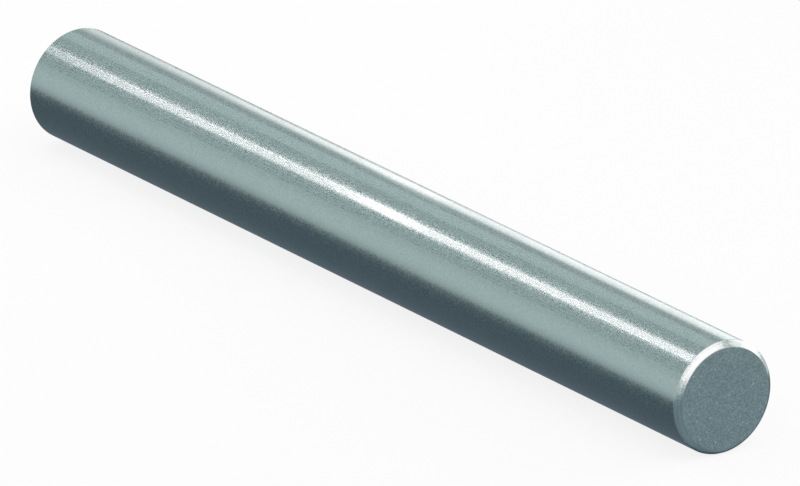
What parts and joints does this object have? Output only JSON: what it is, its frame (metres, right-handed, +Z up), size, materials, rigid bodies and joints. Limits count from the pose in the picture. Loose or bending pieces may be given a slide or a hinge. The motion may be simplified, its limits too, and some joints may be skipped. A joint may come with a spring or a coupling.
{
  "type": "linear shaft",
  "caption": "Solid round linear shaft, ground along its length, with a narrow chamfer round each flat end. Guides linear bushings.",
  "frame": {"origin": "under the middle of the shaft's length, on the level surface that it lies on", "axes": "+X along the shaft towards the end that the picture shows in front, +Z up"},
  "size_m": [0.1524, 0.0158, 0.0159],
  "materials": {
    "ground_steel": "precision ground along the length, finely turned on the chamfers and the end faces"
  },
  "bodies": {
    "root": {"shaft": "ground_steel"}
  },
  "joints": []
}
